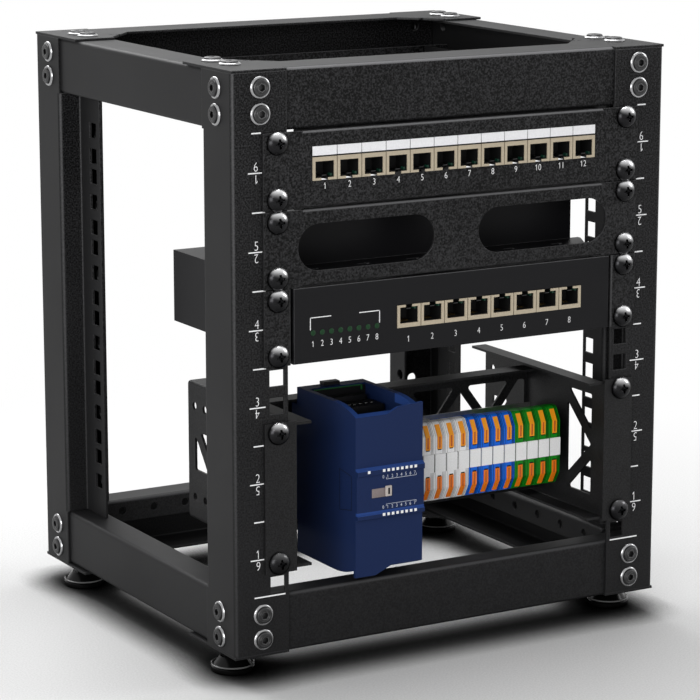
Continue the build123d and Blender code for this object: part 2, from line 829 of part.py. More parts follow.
# Control module: the body, the front tabs, the ribs that border the band, and the terminal pocket
module_left = -half_panel + module_left_gap
module_right = module_left + module_width
module_low = unit_zero + module_bottom
module_high = unit_zero + module_top
module_shoulder = plate_y - plate_flange - module_clearance
front_high = module_high - module_front_drop
front_low = module_low + module_front_drop
with BuildPart() as control_module:
    with BuildSketch(Plane.YZ.offset(module_left)):
        with BuildLine():
            Polyline(
                (front + module_curve_depth, module_low),
                (module_shoulder, module_low),
                (module_shoulder, plate_low + 2 * sheet),
                (rail_back, plate_low + 2 * sheet),
                (rail_back, plate_high - 2 * sheet),
                (module_shoulder, plate_high - 2 * sheet),
                (module_shoulder, module_high),
                (front + module_curve_depth, module_high),
            )
            TangentArc((front + module_curve_depth, module_high), (front, front_high), tangent=(-1, 0))
            Line((front, front_high), (front, front_low))
            TangentArc((front + module_curve_depth, module_low), (front, front_low), tangent=(-1, 0))
        make_face()
    extrude(amount=module_width)
    with BuildSketch(Plane.XZ.offset(half_depth + band_proud)):
        with Locations(((module_left + module_right) / 2, unit_zero + (low_rib[0] + high_rib[1]) / 2)):
            Rectangle(module_width, high_rib[0] - low_rib[1] + 2 * rib_slope)
    extrude(amount=-2 * band_proud)
    with BuildSketch(Plane.YZ.offset(module_left)):
        for rib_low, rib_high in (low_rib, high_rib):
            with BuildLine():
                rib = FilletPolyline(
                    (front + rib_slope, unit_zero + rib_high),
                    (front, unit_zero + rib_high),
                    (front - rib_proud, unit_zero + rib_high - rib_slope),
                    (front - rib_proud, unit_zero + rib_low),
                    (front + rib_slope, unit_zero + rib_low),
                    radius=rib_round,
                )
                Line(rib @ 1, rib @ 0)
            make_face()
    extrude(amount=module_width)
    slant_from = module_left + module_tab_share * module_width
    slant_to = slant_from + module_tab_slant * module_width
    low_slant_to = module_left + module_low_tab_share * module_width
    with BuildSketch(Plane.XZ.offset(half_depth)):
        with BuildLine():
            Polyline(
                (slant_from, front_high),
                (slant_to, front_high + module_tab_slope * module_tab_height),
                (module_right, front_high + module_tab_height),
                (module_right, front_high - module_tab_height),
                (slant_from, front_high - module_tab_height),
                close=True,
            )
        make_face()
        with BuildLine():
            Polyline(
                (module_left, front_low + module_tab_height),
                (module_left, front_low - module_tab_height),
                (low_slant_to - module_low_tab_slant * module_width, front_low - module_tab_height),
                (low_slant_to, front_low),
                (low_slant_to, front_low + module_tab_height),
                close=True,
            )
        make_face()
    extrude(amount=-module_tab_sheet)
    with BuildSketch(Plane.XY.offset(module_high - pocket_depth)):
        with BuildLine():
            Polyline(
                (module_left + pocket_wall, front + pocket_wall),
                (module_right - pocket_wall, front + pocket_wall),
                (module_right - pocket_wall, module_shoulder - pocket_back),
                (module_left + pocket_wall, module_shoulder - pocket_back),
                close=True,
            )
        make_face()
    extrude(amount=2 * pocket_depth, mode=Mode.SUBTRACT)
publish(control_module.part, "control_module")

with BuildPart() as module_clip:
    with BuildSketch(Plane.XY.offset(module_high)):
        with Locations((module_left + clip_from_left, module_shoulder - clip_depth / 2)):
            Rectangle(clip_width, clip_depth)
    extrude(amount=clip_height)
publish(module_clip.part, "module_clip")

# Terminal blocks: slices on the rail, each colour its own group, with a lever above and one below
blocks_left = -half_panel + blocks_left_gap
block_low = rail_level - block_height / 2
block_high = rail_level + block_height / 2
block_face = front + block_front


def face_path(way, clear, reach):
    """Side view of a path just outside the front of a block, from near the tag on to the chamfer."""
    outer = block_face - lever_proud
    bend = rail_level + way * (block_height / 2 - block_chamfer_height)
    return [
        (outer, rail_level + way * (tag_height / 2 + clear)),
        (outer, bend),
        (outer + reach * block_chamfer_depth, bend + way * reach * block_chamfer_height),
    ]


def block_row(first, count):
    with BuildPart() as row:
        for i in range(first, first + count):
            left = blocks_left + i * block_width
            with BuildSketch(Plane.YZ.offset(left + block_gap / 2)):
                with BuildLine():
                    FilletPolyline(
                        (block_face + block_depth, block_low),
                        (block_face + block_chamfer_depth, block_low),
                        (block_face, block_low + block_chamfer_height),
                        (block_face, block_high - block_chamfer_height),
                        (block_face + block_chamfer_depth, block_high),
                        (block_face + block_depth, block_high),
                        radius=block_round,
                        close=True,
                    )
                make_face()
                with Locations(((block_face + rail_back) / 2 + block_chamfer_depth, rail_level)):
                    Rectangle(rail_back - block_face - 2 * block_chamfer_depth, block_foot_height)
            extrude(amount=block_width - block_gap)
            cuts = [(lever_left - block_gap, lever_width + 2 * block_gap, lever_sunk, lever_clear, lever_reach)]
            cuts += [(inset, groove_width, groove_depth, groove_clear, 1) for inset in groove_lefts]
            for inset, width, depth, clear, reach in cuts:
                with BuildSketch(Plane.YZ.offset(left + inset)):
                    for way in (-1, 1):
                        with BuildLine():
                            Polyline(*face_path(way, clear, reach))
                            offset(amount=lever_proud + depth, side=Side.RIGHT if way > 0 else Side.LEFT)
                        make_face()
                extrude(amount=width, mode=Mode.SUBTRACT)
    return row.part


for index, colour in enumerate(("grey", "blue", "green")):
    publish(block_row(index * blocks_per_colour, blocks_per_colour), f"terminals_{colour}")

with BuildPart() as terminal_levers:
    for i in range(3 * blocks_per_colour):
        with BuildSketch(Plane.YZ.offset(blocks_left + i * block_width + lever_left)):
            for way in (-1, 1):
                with BuildLine():
                    Polyline(*face_path(way, lever_clear, lever_reach))
                    offset(amount=lever_proud + lever_sunk, side=Side.RIGHT if way > 0 else Side.LEFT)
                make_face()
        extrude(amount=lever_width)
publish(terminal_levers.part, "terminal_levers")

with BuildPart() as terminal_tags:
    with BuildSketch(Plane.XZ.offset(-block_face)):
        for i in range(3 * blocks_per_colour):
            with Locations((blocks_left + i * block_width + tag_left + tag_width / 2, rail_level)):
                Rectangle(tag_width, tag_height)
    extrude(amount=tag_proud)
publish(terminal_tags.part, "terminal_tags")
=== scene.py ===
import math
import bmesh
import bpy
from mathutils import Matrix, Vector


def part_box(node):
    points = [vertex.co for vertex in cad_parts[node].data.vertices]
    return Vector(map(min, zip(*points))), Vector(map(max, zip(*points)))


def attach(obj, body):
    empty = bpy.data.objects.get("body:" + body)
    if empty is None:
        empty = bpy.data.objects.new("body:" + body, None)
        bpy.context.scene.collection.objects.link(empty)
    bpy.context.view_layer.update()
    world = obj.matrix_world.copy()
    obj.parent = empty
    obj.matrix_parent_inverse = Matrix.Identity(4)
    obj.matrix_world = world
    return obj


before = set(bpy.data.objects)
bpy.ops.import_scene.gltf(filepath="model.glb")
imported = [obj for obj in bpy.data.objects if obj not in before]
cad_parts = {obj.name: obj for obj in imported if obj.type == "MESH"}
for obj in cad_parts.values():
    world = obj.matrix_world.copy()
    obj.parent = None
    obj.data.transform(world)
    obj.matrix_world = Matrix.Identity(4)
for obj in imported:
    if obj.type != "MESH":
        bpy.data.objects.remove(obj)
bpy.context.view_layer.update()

MM = 0.001

# Camera at the height and turn of the photograph, with its focal length fitted in pixels
photo_width = 700
photo_focal = 2890.2
tilt_down = 11.82
turn_right = 30.17
camera = bpy.data.objects.new("camera", bpy.data.cameras.new("camera"))
bpy.context.scene.collection.objects.link(camera)
camera.location = (-0.8829, -1.5274, 0.5268)
camera.rotation_euler = (math.radians(90 - tilt_down), 0, math.radians(-turn_right))
camera.data.sensor_width = 36
camera.data.lens = photo_focal / photo_width * camera.data.sensor_width
camera.data.clip_start = 0.05
camera.data.clip_end = 50
bpy.context.scene.camera = camera
bpy.context.scene.view_settings.view_transform = "Standard"


def box(node):
    """A node's lowest and highest corners in millimetres."""
    low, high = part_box(node)
    return [round(v / MM, 3) for v in low], [round(v / MM, 3) for v in high]


def middle(node):
    """The middle of a node's box in millimetres."""
    return [(low + high) / 2 for low, high in zip(*box(node))]


# Sizes and places in millimetres, from the nodes of the frame and from the spacings of its units and ports
beam_low, beam_high = box("bottom_beam_front")
half_width = beam_high[0]
front = beam_low[1]
half_depth = -front
frame_low = beam_low[2]
frame_high = box("top_beam_front")[1][2]
unit = 44.45
unit_clearance = 0.2
unit_zero = beam_high[2] + unit_clearance
screw_column = 118.26
panel_face = box("patch_panel")[0][1]
port_pitch = 16
rail_level = middle("din_rail")[2]
module_low, module_high = box("control_module")
module_left, rib_face = module_low[0], module_low[1]
module_right = module_high[0]
blocks_low = box("terminals_grey")[0]
block_pitch = 8.28
block_gap = 0.1
block_count = 12
first_block = blocks_low[0] - block_gap / 2
block_face = blocks_low[1]


def area_light(name, place, size, power):
    """A soft lamp in metres and watts, turned to the middle of the rack."""
    aim = Vector((0, 0, 0.2))
    light = bpy.data.lights.new(name, "AREA")
    light.shape = "RECTANGLE"
    light.size, light.size_y = size
    light.energy = power
    holder = bpy.data.objects.new(name, light)
    bpy.context.scene.collection.objects.link(holder)
    holder.location = place
    holder.rotation_euler = (aim - Vector(place)).to_track_quat("-Z", "Y").to_euler()


area_light("softbox_back", (-0.1, 1.4, 1.4), (1.3, 0.9), 17)
area_light("softbox_top", (0.1, 0.3, 1.65), (1.2, 1.1), 23)
area_light("softbox_front", (-1.75, -1.4, 0.6), (1.5, 0.9), 31)
area_light("softbox_right", (1.8, -0.8, 0.95), (0.6, 0.6), 8)


def feed(tree, socket, source):
    """Give an input its value: a link from another node's output, or a plain number, colour or vector."""
    if isinstance(source, bpy.types.NodeSocket):
        tree.links.new(source, socket)
    else:
        socket.default_value = source


def calc(tree, operation, *sources):
    """The result of a Math node, from outputs or plain numbers."""
    node = tree.nodes.new("ShaderNodeMath")
    node.operation = operation
    for socket, source in zip(node.inputs, sources):
        feed(tree, socket, source)
    return node.outputs[0]


def vector_calc(tree, operation, *sources, scale=1.0):
    """The result of a Vector Math node, a number or a vector as its operation has it."""
    node = tree.nodes.new("ShaderNodeVectorMath")
    node.operation = operation
    for socket, source in zip(node.inputs, sources):
        feed(tree, socket, source)
    if operation == "SCALE":
        feed(tree, node.inputs["Scale"], scale)
    return node.outputs["Value" if operation in ("DOT_PRODUCT", "LENGTH") else "Vector"]


def spread(tree, value, low, high, to_low=0.0, to_high=1.0, smooth=False):
    """A value carried from one range to another, and held at its ends."""
    node = tree.nodes.new("ShaderNodeMapRange")
    if smooth:
        node.interpolation_type = "SMOOTHSTEP"
    sources = {"Value": value, "From Min": low, "From Max": high, "To Min": to_low, "To Max": to_high}
    for label, source in sources.items():
        feed(tree, node.inputs[label], source)
    return node.outputs[0]


def colour_mix(tree, factor, first, second):
    """One colour over another by a factor."""
    node = tree.nodes.new("ShaderNodeMix")
    node.data_type = "RGBA"
    for label, source in {"Factor": factor, "A": first, "B": second}.items():
        feed(tree, node.inputs[label], source)
    return node.outputs["Result"]


def axes(tree, vector):
    """The X, Y and Z of a vector."""
    node = tree.nodes.new("ShaderNodeSeparateXYZ")
    tree.links.new(vector, node.inputs[0])
    return node.outputs


def object_place(tree):
    """The place on the surface in Object coordinates."""
    return tree.nodes.new("ShaderNodeTexCoord").outputs["Object"]


def noise(tree, scale, detail=2):
    """A noise over the surface."""
    node = tree.nodes.new("ShaderNodeTexNoise")
    sources = {"Vector": object_place(tree), "Scale": scale, "Detail": detail}
    for label, source in sources.items():
        feed(tree, node.inputs[label], source)
    return node.outputs["Fac"]


def seen_directly(tree):
    """One for the eye, for reflections and through clear things, nought for light on matt surfaces."""
    rays = tree.nodes.new("ShaderNodeLightPath").outputs
    seen = calc(tree, "MAXIMUM", rays["Is Camera Ray"], rays["Is Glossy Ray"])
    return calc(tree, "MAXIMUM", seen, rays["Is Transmission Ray"])


# World: white to look at and in reflections, softer as light on matt surfaces
world = bpy.data.worlds.new("studio")
bpy.context.scene.world = world
world.use_nodes = True
tree = world.node_tree
tree.nodes.clear()
background = tree.nodes.new("ShaderNodeBackground")
background.inputs["Color"].default_value = (1, 1, 1, 1)
light_on_matt = 0.2
tree.links.new(spread(tree, seen_directly(tree), 0, 1, light_on_matt, 1), background.inputs["Strength"])
world_out = tree.nodes.new("ShaderNodeOutputWorld")
tree.links.new(background.outputs[0], world_out.inputs["Surface"])


def new_material(name):
    """A new material with its node tree and its Principled shader."""
    material = bpy.data.materials.new(name)
    material.use_nodes = True
    shader = material.node_tree.nodes["Principled BSDF"]
    return material, material.node_tree, shader


def value_group(name, inputs, outputs):
    """An empty node group with named inputs, each with its default, and named outputs."""
    group = bpy.data.node_groups.new(name, "ShaderNodeTree")
    for label, kind, default in inputs:
        socket = group.interface.new_socket(name=label, in_out="INPUT", socket_type=kind)
        socket.default_value = default
    for label, kind in outputs:
        group.interface.new_socket(name=label, in_out="OUTPUT", socket_type=kind)
    return group, group.nodes.new("NodeGroupInput").outputs, group.nodes.new("NodeGroupOutput").inputs


def placed(tree, group, values):
    """A node group set into a material, with its inputs fed by name."""
    node = tree.nodes.new("ShaderNodeGroup")
    node.node_tree = group
    for label, source in values.items():
        feed(tree, node.inputs[label], source)
    return node


# Grain shared by all surfaces: a fine height and speckle, over a slow drift of tone and roughness
grain, grain_in, grain_out = value_group(
    "surface_grain",
    [
        ("Scale", "NodeSocketFloat", 1500.0),
        ("Tone", "NodeSocketFloat", 0.1),
        ("Colour", "NodeSocketColor", (0.5, 0.5, 0.5, 1)),
    ],
    [("Colour", "NodeSocketColor"), ("Height", "NodeSocketFloat"), ("Roughness", "NodeSocketFloat")],
)
fine = noise(grain, grain_in["Scale"], 3)
slow = noise(grain, 18, 4)
change = calc(grain, "ADD", spread(grain, fine, 0.35, 0.65, -1, 1), spread(grain, slow, 0, 1, -0.5, 0.5))
strength = calc(grain, "MULTIPLY_ADD", change, grain_in["Tone"], 1)
tint = vector_calc(grain, "SCALE", grain_in["Colour"], scale=calc(grain, "MAXIMUM", strength, 0.05))
grain.links.new(tint, grain_out["Colour"])
grain.links.new(fine, grain_out["Height"])
grain.links.new(spread(grain, slow, 0, 1, -0.06, 0.06), grain_out["Roughness"])

# Painted highlight on folds that face forward and up: a paler colour mixed in where a fold would catch the
# light, and the speckle of the coat on faces to the front. Both fade towards the floor.
folds, folds_in, folds_out = value_group(
    "fold_highlights",
    [("Rounded", "NodeSocketVector", (0, 0, 1))],
    [("Fold highlight", "NodeSocketFloat"), ("Speckle", "NodeSocketFloat")],
)
towards_light = (-0.05, -0.72, 0.69)
nearly_flat, well_bent = 0.985, 0.85
floor_level, top_level = 0.04, 0.33
# On a flat face the rounded normal lies along one axis, and on a fold along none
sizes = axes(folds, vector_calc(folds, "ABSOLUTE", folds_in["Rounded"]))
flattest = calc(folds, "MAXIMUM", calc(folds, "MAXIMUM", sizes["X"], sizes["Y"]), sizes["Z"])
edge = spread(folds, flattest, nearly_flat, well_bent)
turned = spread(folds, vector_calc(folds, "DOT_PRODUCT", folds_in["Rounded"], towards_light), 0.38, 0.95)
raised = spread(folds, axes(folds, object_place(folds))["Z"], floor_level, top_level, 0.22)
fold = calc(folds, "MULTIPLY", calc(folds, "MULTIPLY", edge, turned), raised)
folds.links.new(fold, folds_out["Fold highlight"])
folds.links.new(calc(folds, "MULTIPLY", sizes["Y"], raised), folds_out["Speckle"])


def surface(
    name,
    colour,
    roughness,
    scale=1200,
    tone=0.05,
    bump=0.05,
    relief=0.05,
    specular=0.5,
    metallic=0.0,
    fold=0.0,
):
    """A grained surface: paint, moulded plastic or metal, with its relief and its folds in millimetres, and a
    painted highlight on the folds.
    """
    material, tree, shader = new_material(name)
    grained = placed(tree, grain, {"Scale": scale, "Tone": tone, "Colour": (*colour, 1)})
    shown, height = grained.outputs["Colour"], grained.outputs["Height"]
    lift = tree.nodes.new("ShaderNodeBump")
    lift.inputs["Strength"].default_value = bump
    lift.inputs["Distance"].default_value = relief * MM
    if fold:
        bend = tree.nodes.new("ShaderNodeBevel")
        bend.samples = 4
        bend.inputs["Radius"].default_value = fold * MM
        tree.links.new(bend.outputs["Normal"], lift.inputs["Normal"])
        caught = placed(tree, folds, {"Rounded": bend.outputs["Normal"]}).outputs
        # A paler grey mixed in on the folds: a painted highlight
        shown = colour_mix(tree, caught["Fold highlight"], shown, (0.17, 0.17, 0.175, 1))
        tree.links.new(calc(tree, "MULTIPLY", caught["Speckle"], tone), grained.inputs["Tone"])
        height = calc(tree, "MULTIPLY", height, caught["Speckle"])
    tree.links.new(height, lift.inputs["Height"])
    finish = {
        "Base Color": shown,
        "Roughness": calc(tree, "ADD", grained.outputs["Roughness"], roughness),
        "Normal": lift.outputs["Normal"],
        "Specular IOR Level": specular,
        "Metallic": metallic,
    }
    for label, source in finish.items():
        feed(tree, shader.inputs[label], source)
    return material


def textured_coat(name, colour, fold):
    """The coarse powder coat of the frame and the panels."""
    return surface(name, colour, 0.52, scale=1000, tone=1.6, bump=0.7, relief=0.12, specular=0.12, fold=fold)


def metal(name, colour, roughness, scale=1500, tone=0.1, bump=0.1):
    """Bare, plated or burnished metal."""
    return surface(name, colour, roughness, scale, tone, bump, relief=0.03, metallic=1.0)


frame_paint = textured_coat("frame_paint", (0.0125, 0.0125, 0.0131), 0.8)
panel_paint = textured_coat("panel_paint", (0.0138, 0.0138, 0.0144), 0.4)
housing_paint = surface(
    "housing_paint",
    (0.0075, 0.0075, 0.0085),
    0.42,
    scale=2500,
    tone=0.06,
    relief=0.02,
    specular=0.12,
    fold=0.5,
)
bracket_paint = surface(
    "bracket_paint", (0.008, 0.008, 0.0085), 0.5, tone=0.8, bump=0.3, relief=0.1, specular=0.2
)
foot_plastic = surface(
    "foot_plastic", (0.002, 0.002, 0.002), 0.22, scale=700, tone=0.1, bump=0.03, relief=0.02, specular=0.15
)
foot_rim = surface("foot_rim", (0.12, 0.12, 0.12), 0.2, scale=900)
jack_plastic = surface(
    "jack_plastic", (0.49, 0.42, 0.31), 0.5, scale=900, bump=0.1, relief=0.03, specular=0.4
)
label_paper = surface("label_paper", (0.90, 0.90, 0.92), 0.6, tone=0.03)
lamp_lens = surface("lamp_lens", (0.010, 0.042, 0.016), 0.4, scale=900, tone=0.1, specular=0.15)
module_plastic = surface(
    "module_plastic",
    (0.0078, 0.0195, 0.074),
    0.6,
    scale=1500,
    tone=0.08,
    bump=0.25,
    relief=0.08,
    specular=0.15,
)
block_grey = surface("block_grey", (0.96, 0.96, 0.97), 0.45, tone=0.04, bump=0.08)
block_blue = surface("block_blue", (0.006, 0.145, 0.76), 0.45, bump=0.08, specular=0.2)
block_green = surface("block_green", (0.004, 0.24, 0.008), 0.45, bump=0.08, specular=0.2)
lever_orange = surface("lever_orange", (0.92, 0.22, 0.007), 0.4, tone=0.06, bump=0.06, specular=0.3)
# A darker orange for the lever grooves: painted shade
lever_groove = surface("lever_groove", (0.55, 0.10, 0.004), 0.45)
tag_white = surface("tag_white", (0.97, 0.97, 0.97), 0.5, tone=0.04, bump=0.08)
print_white = surface("print_white", (0.92, 0.92, 0.93), 0.6, scale=1500)
faded_print = surface("faded_print", (0.55, 0.58, 0.66), 0.6, scale=1500)
board_green = surface("board_green", (0.01, 0.12, 0.02), 0.4, scale=800, tone=0.1)
switch_ivory = surface("switch_ivory", (0.50, 0.45, 0.42), 0.5)
switch_mauve = surface("switch_mauve", (0.22, 0.18, 0.175), 0.5)
dark_gap = surface("dark_gap", (0.003, 0.003, 0.004), 0.6, scale=900, tone=0.1, relief=0.03, specular=0.2)
port_green = surface("port_green", (0.004, 0.035, 0.02), 0.4, scale=900)
port_amber = surface("port_amber", (0.06, 0.055, 0.004), 0.4, scale=900)
rail_zinc = metal("rail_zinc", (0.5, 0.5, 0.48), 0.35, scale=300)
bright_steel = metal("bright_steel", (0.34, 0.34, 0.345), 0.22, tone=0.08)
dark_steel = metal("dark_steel", (0.055, 0.055, 0.056), 0.38)
# Paler steel for the socket rims: a painted highlight
chamfer_highlight_steel = metal("chamfer_highlight_steel", (0.14, 0.14, 0.142), 0.3)
pan_steel = metal("pan_steel", (0.018, 0.018, 0.019), 0.27)
contact_gold = metal("contact_gold", (0.55, 0.36, 0.10), 0.3, scale=900, tone=0.05, bump=0.05)


def base_colour(material):
    """A material's tree, the colour input of its shader, and the output that feeds it so far."""
    tree = material.node_tree
    socket = tree.nodes["Principled BSDF"].inputs["Base Color"]
    return tree, socket, socket.links[0].from_socket


def two_tone(material, second, axis, edge):
    """Beyond a plane, given in millimetres, the surface takes a second colour that stands for light or shade.
    """
    tree, socket, first = base_colour(material)
    beyond = calc(tree, "GREATER_THAN", axes(tree, object_place(tree))[axis], edge * MM)
    tree.links.new(colour_mix(tree, beyond, first, (*second, 1)), socket)


# Painted shade makes the sockets dark behind their mouths, and painted light makes the upper levers paler
# than the lower ones
two_tone(jack_plastic, (0.004, 0.004, 0.004), "Y", panel_face + 0.2)
two_tone(lever_orange, (1.0, 0.37, 0.012), "Z", rail_level)


def inside_box(tree, low, high):
    """One inside a box given in millimetres, nought outside it."""
    inside = 1.0
    for place, least, most in zip(axes(tree, object_place(tree)), low, high):
        within = calc(tree, "COMPARE", place, (least + most) / 2 * MM, (most - least) / 2 * MM)
        inside = calc(tree, "MULTIPLY", inside, within)
    return inside


# The module's rims and rib tops are painted a lighter blue, a painted highlight where light from above
# catches them
rib_tops = (118.0, 91.5)
highlight_height = 1.8
pocket_rim = ((module_left + 0.05, front + 0.1, 147.7), (module_right - 0.05, -104.0, 154.0))
lit_rib_tops = [
    ((module_left - 1, rib_face - 1, top - highlight_height), (module_right + 1, front - 0.02, top))
    for top in rib_tops
]
for low, high in [pocket_rim] + lit_rib_tops:
    tree, socket, plain = base_colour(module_plastic)
    painted_rim_highlight = colour_mix(tree, inside_box(tree, low, high), plain, (0.022, 0.062, 0.24, 1))
    tree.links.new(painted_rim_highlight, socket)

# Painted shade in the seams and grooves of the terminal blocks: darker lines of the block's own colour at the
# same place in every block
seams, seams_in, seams_out = value_group(
    "block_seam_shade",
    [("Colour", "NodeSocketColor", (0.5, 0.5, 0.5, 1)), ("Line", "NodeSocketFloat", 0.3)],
    [("Colour", "NodeSocketColor")],
)
seam_lines = ((0.12, 0.25), (1.5, 0.16), (6.6, 0.28), (7.5, 0.26))
seam_start = first_block - 0.1
past_start = calc(seams, "ADD", axes(seams, object_place(seams))["X"], -seam_start * MM)
within = calc(seams, "MODULO", past_start, block_pitch * MM)
lined = 0.0
for place, half in seam_lines:
    lined = calc(seams, "MAXIMUM", lined, calc(seams, "COMPARE", within, place * MM, half * MM))
level = spread(seams, lined, 0, 1, 1, seams_in["Line"])
seams.links.new(vector_calc(seams, "SCALE", seams_in["Colour"], scale=level), seams_out["Colour"])
for material, line in ((block_grey, 0.5), (block_blue, 0.12), (block_green, 0.12)):
    tree, socket, plain = base_colour(material)
    tree.links.new(placed(tree, seams, {"Colour": plain, "Line": line}).outputs["Colour"], socket)

# Painted highlight on the domed heads: a pale colour mixed in where they face up, less so towards the floor
tree, socket, plain = base_colour(pan_steel)
normal = tree.nodes.new("ShaderNodeTexCoord").outputs["Normal"]
upward = vector_calc(tree, "DOT_PRODUCT", normal, (0.2, -0.35, 0.915))
facing_up_share = spread(tree, upward, 0.38, 0.98, smooth=True)
raised = spread(tree, axes(tree, object_place(tree))["Z"], 0.08, 0.17, 0.1)
painted_highlight = colour_mix(tree, calc(tree, "MULTIPLY", facing_up_share, raised), plain, (0.85, 0.85, 0.86, 1))
tree.links.new(painted_highlight, socket)

# Finish of each node, by how its name starts
finishes = {
    "post": frame_paint,
    "top_beam": frame_paint,
    "bottom_beam": frame_paint,
    "foot": foot_plastic,
    "patch_panel": panel_paint,
    "slot_panel": panel_paint,
    "cable_tray": housing_paint,
    "patch_jacks": jack_plastic,
    "switch_jacks": jack_plastic,
    "patch_labels": label_paper,
    "switch_housing": housing_paint,
    "switch_ears": panel_paint,
    "switch_lamps": lamp_lens,
    "din_arm": bracket_paint,
    "din_back_plate": bracket_paint,
    "din_rail": rail_zinc,
    "control_module": module_plastic,
    "module_clip": bracket_paint,
    "terminals_grey": block_grey,
    "terminals_blue": block_blue,
    "terminals_green": block_green,
    "terminal_levers": lever_orange,
    "terminal_tags": tag_white,
}
for name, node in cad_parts.items():
    for beginning, material in finishes.items():
        if name.startswith(beginning):
            node.data.materials.clear()
            node.data.materials.append(material)


def finished(bm, name, material, angle=35):
    """Turn a bmesh into a named piece: merged, faces outward, sharp past an angle, riding on the rack."""
    bmesh.ops.remove_doubles(bm, verts=bm.verts, dist=1e-6)
    bmesh.ops.recalc_face_normals(bm, faces=bm.faces)
    for face in bm.faces:
        face.smooth = True
    for edge in bm.edges:
        edge.smooth = len(edge.link_faces) != 2 or edge.calc_face_angle(0) < math.radians(angle)
    mesh = bpy.data.meshes.new(name)
    bm.to_mesh(mesh)
    bm.free()
    mesh.materials.append(material)
    piece = bpy.data.objects.new(name, mesh)
    bpy.context.scene.collection.objects.link(piece)
    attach(piece, "root")


def lathe(profile, steps):
    """A turned form about the Z axis from its radius and height pairs, in millimetres."""
    bm = bmesh.new()
    verts = [bm.verts.new((r * MM, 0, h * MM)) for r, h in profile]
    edges = [bm.edges.new(pair) for pair in zip(verts, verts[1:])]
    bmesh.ops.spin(
        bm, geom=verts + edges, cent=(0, 0, 0), axis=(0, 0, 1), angle=math.tau, steps=steps, use_merge=True
    )
    bmesh.ops.remove_doubles(bm, verts=bm.verts, dist=1e-6)
    return bm


def towards(direction, place, turn=0.0):
    """Matrix that points +Z along a direction and moves to a place given in millimetres."""
    spin = Vector(direction).to_track_quat("Z", "Y").to_matrix().to_4x4()
    return Matrix.Translation(Vector(place) * MM) @ spin @ Matrix.Rotation(turn, 4, "Z")


def copies(bm, matrices):
    """The same small form at many places, as one bmesh."""
    mould = bpy.data.meshes.new("mould")
    bm.to_mesh(mould)
    bm.free()
    many = bmesh.new()
    for matrix in matrices:
        start = len(many.verts)
        many.from_mesh(mould)
        many.verts.ensure_lookup_table()
        bmesh.ops.transform(many, matrix=matrix, verts=many.verts[start:])
    bpy.data.meshes.remove(mould)
    return many


def bar(bm, low, high, bevel=0.0):
    """A block between two corners in millimetres, with its edges eased."""
    size = Vector(high) - Vector(low)
    centre = (Vector(high) + Vector(low)) / 2
    matrix = Matrix.Translation(centre * MM) @ Matrix.Diagonal((*(size * MM), 1))
    made = bmesh.ops.create_cube(bm, size=1, matrix=matrix)["verts"]
    if bevel:
        edges = list({e for v in made for e in v.link_edges})
        bmesh.ops.bevel(
            bm, geom=edges, offset=bevel * MM, affect="EDGES", segments=2, profile=0.5, material=-1
        )


def only_verts(geometry):
    """The vertices among what an operator made."""
    return [g for g in geometry if isinstance(g, bmesh.types.BMVert)]


# Frame screws: dark socket heads that stand on a bright flange, each stopped at its own turn
front_levels = [frame_high - 10.0, frame_high - 24.8, frame_low + 10.0, frame_low + 24.8]
side_levels = [frame_high - 10.9, frame_high - 25.8, frame_low + 9.6, frame_low + 24.6]
front_screw_x = 128.0
side_screw_y = 111.4
top_screw_x = 131.0
top_screw_rows = (-79.5, -100.2, 86.0, 100.0)
screw_places = []
for sx in (-1, 1):
    for sy in (-1, 1):
        for z in front_levels:
            screw_places.append(towards((0, sy, 0), (sx * front_screw_x, sy * half_depth, z), 0.3 * z))
        for z in side_levels:
            screw_places.append(towards((sx, 0, 0), (sx * half_width, sy * side_screw_y, z), 0.2 * z))
for sx in (-1, 1):
    for y in top_screw_rows:
        screw_places.append(towards((0, 0, 1), (sx * top_screw_x, y, frame_high), 0.4))

flange = lathe(
    [(4.6, 0), (6.3, 0), (6.4, 0.4), (6.2, 0.85), (5.8, 1.15), (5.3, 1.3), (5.1, 1.2), (4.6, 1.1), (4.6, 0)],
    40,
)
finished(copies(flange, screw_places), "frame_screw_flanges", bright_steel)


def socket_head(radius, height, socket, depth):
    """A screw head with a hexagon socket, from its radius, its height and the socket's radius and depth."""
    lip = socket + 0.45
    bm = lathe(
        [
            (radius + 0.15, 0.1),
            (radius + 0.15, height - 1.0),
            (radius, height - 0.4),
            (radius - 0.4, height - 0.1),
            (radius - 0.8, height),
            (lip + 0.8, height),
            (lip + 0.6, height - 0.15),
            (lip + 0.4, height),
            (lip, height),
        ],
        36,
    )
    rim = [e for e in bm.edges if all(abs(v.co.xy.length - lip * MM) < 1e-7 for v in e.verts)]
    hexagon = bmesh.ops.create_circle(bm, segments=6, radius=socket * MM)["verts"]
    bmesh.ops.translate(bm, vec=(0, 0, (height - 0.3) * MM), verts=hexagon)
    inner = list({e for v in hexagon for e in v.link_edges})
    bmesh.ops.bridge_loops(bm, edges=rim + inner)
    wall = bmesh.ops.extrude_edge_only(bm, edges=inner)["geom"]
    bmesh.ops.translate(bm, vec=(0, 0, -depth * MM), verts=only_verts(wall))
    bmesh.ops.contextual_create(bm, geom=only_verts(wall))
    return bm


head_height = 2.5
screw_head = socket_head(radius=4.75, height=head_height, socket=2.15, depth=1.9)
finished(copies(screw_head, screw_places), "frame_screw_heads", dark_steel, 25)

